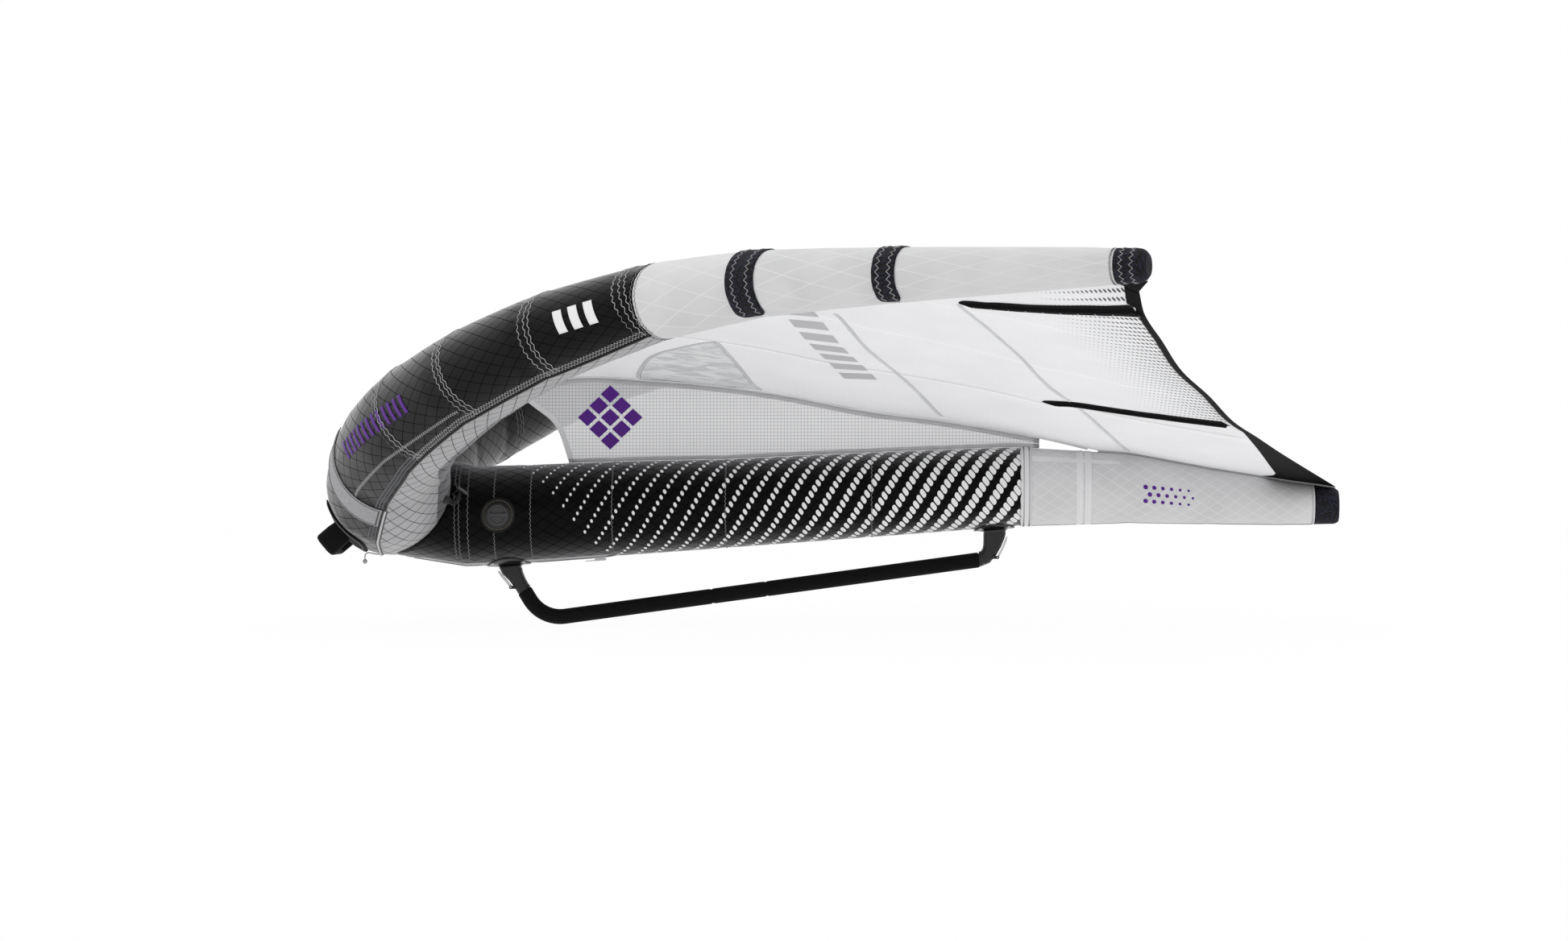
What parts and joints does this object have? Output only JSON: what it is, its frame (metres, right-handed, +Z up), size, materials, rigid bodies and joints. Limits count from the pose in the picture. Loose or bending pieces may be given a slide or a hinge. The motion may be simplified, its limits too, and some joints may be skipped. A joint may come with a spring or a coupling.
{
  "type": "wingfoil wing",
  "caption": "Hand-held inflatable wing with a curved leading edge tube, a central strut, a stretched canopy with windows, and a rigid boom under the strut.",
  "frame": {"origin": "on the ground under the middle of the bounding box, with the boom's lowest point at z = 0", "axes": "+X aft from the nose to the tail, +Y to the right across the span, +Z up; the wing's plane of symmetry is y = 0 and its left side is -Y"},
  "size_m": [1.9624, 3.1242, 0.6604],
  "materials": {
    "black_cloth": "coated woven polyester",
    "light_cloth": "coated woven polyester",
    "white_canopy": "ripstop canopy cloth",
    "panel_cloth": "translucent ripstop cloth",
    "coarse_band": "coarse abrasion resistant weave",
    "webbing": "woven tape",
    "clear_film": "clear laminated film, crinkled",
    "bladder_film": "polyurethane film",
    "foam": "matt closed cell foam",
    "hose_rubber": "flexible hose",
    "pale_cord": "braided elastic",
    "pale_bead": "moulded",
    "moulded_plastic": "satin moulded nylon",
    "latch_plastic": "satin moulded plastic",
    "batten_plastic": "fibre reinforced rod in a cloth pocket",
    "carbon_tube": "carbon fibre tube",
    "steel": "stainless"
  },
  "bodies": {
    "wing": {"leading_edge_casing_centre": "black_cloth", "leading_edge_casing_left": "light_cloth", "leading_edge_casing_right": "light_cloth", "tip_cap_left": "black_cloth", "tip_cap_right": "black_cloth", "wear_band_inner_left": "coarse_band", "wear_band_inner_right": "coarse_band", "wear_band_outer_left": "coarse_band", "wear_band_outer_right": "coarse_band", "nose_band_left": "webbing", "nose_band_right": "webbing", "leading_edge_bladder": "bladder_film", "nose_handle_plate": "foam", "nose_handle_grip": "foam", "pigtail_cord": "pale_cord", "pigtail_bead": "pale_bead", "canopy_front_left": "white_canopy", "canopy_front_right": "white_canopy", "canopy_window_left": "clear_film", "canopy_window_right": "clear_film", "canopy_main_left": "white_canopy", "canopy_main_right": "white_canopy", "canopy_tail_left": "black_cloth", "canopy_tail_right": "black_cloth", "trailing_tape_left": "black_cloth", "trailing_tape_right": "black_cloth", "batten_upper_left": "batten_plastic", "batten_upper_right": "batten_plastic", "batten_lower_left": "batten_plastic", "batten_lower_right": "batten_plastic", "profile_panel": "panel_cloth", "strut_casing_front": "black_cloth", "strut_casing_rear": "light_cloth", "strut_bladder": "bladder_film", "strut_tail_cap": "black_cloth", "strut_seam_tape": "webbing", "strut_zip_tape": "webbing", "valve_base": "moulded_plastic", "hose_fitting_leading_edge": "moulded_plastic", "hose_fitting_strut": "moulded_plastic", "transfer_hose": "hose_rubber", "pinch_clip_body": "moulded_plastic", "front_saddle": "moulded_plastic", "rear_saddle": "moulded_plastic"},
    "boom": {"boom_tube": "carbon_tube", "boom_grip": "foam", "front_socket": "moulded_plastic", "rear_socket": "moulded_plastic", "front_latch_pin": "steel", "rear_latch_pin": "steel"},
    "front_latch": {"front_latch": "latch_plastic"},
    "rear_latch": {"rear_latch": "latch_plastic"},
    "valve_plug": {"valve_plug": "moulded_plastic"},
    "valve_cap": {"valve_cap": "moulded_plastic"},
    "pinch_lever": {"pinch_clip_lever": "latch_plastic"},
    "zip_slider": {"zip_slider": "steel"}
  },
  "joints": [
    {"name": "boom_release", "type": "slide", "parent": "wing", "child": "boom", "axis": [0, 0, -1], "range_m": [0, 0.05]},
    {"name": "front_latch_release", "type": "hinge", "parent": "boom", "child": "front_latch", "pos_m": [-0.6128, 0, 0.0706], "axis": [0, -1, 0], "range_deg": [0, 25], "stiffness_Nm_per_rad": 0.05, "springref_deg": -17.19},
    {"name": "rear_latch_release", "type": "hinge", "parent": "boom", "child": "rear_latch", "pos_m": [0.3268, 0, 0.129], "axis": [0, 1, 0], "range_deg": [0, 25], "stiffness_Nm_per_rad": 0.05, "springref_deg": -17.19},
    {"name": "valve_plug_rise", "type": "slide", "parent": "wing", "child": "valve_plug", "axis": [0, -1, 0], "range_m": [0, 0.003]},
    {"name": "valve_cap_turn", "type": "hinge", "parent": "valve_plug", "child": "valve_cap", "pos_m": [-0.63, -0.09499, 0.21101], "axis": [0, -1, 0], "range_deg": [0, 360]},
    {"name": "pinch_lever_open", "type": "hinge", "parent": "wing", "child": "pinch_lever", "pos_m": [-0.70152, -0.13884, 0.26428], "axis": [0.2174, -0.8368, -0.5024], "range_deg": [0, 35]},
    {"name": "zip_travel", "type": "slide", "parent": "wing", "child": "zip_slider", "axis": [-0.9972, 0, -0.0742], "range_m": [0, 0.09]}
  ],
  "couplings": [
    {"joint": "valve_cap_turn", "follows": "valve_plug_rise", "rad_per_m": 2094}
  ]
}
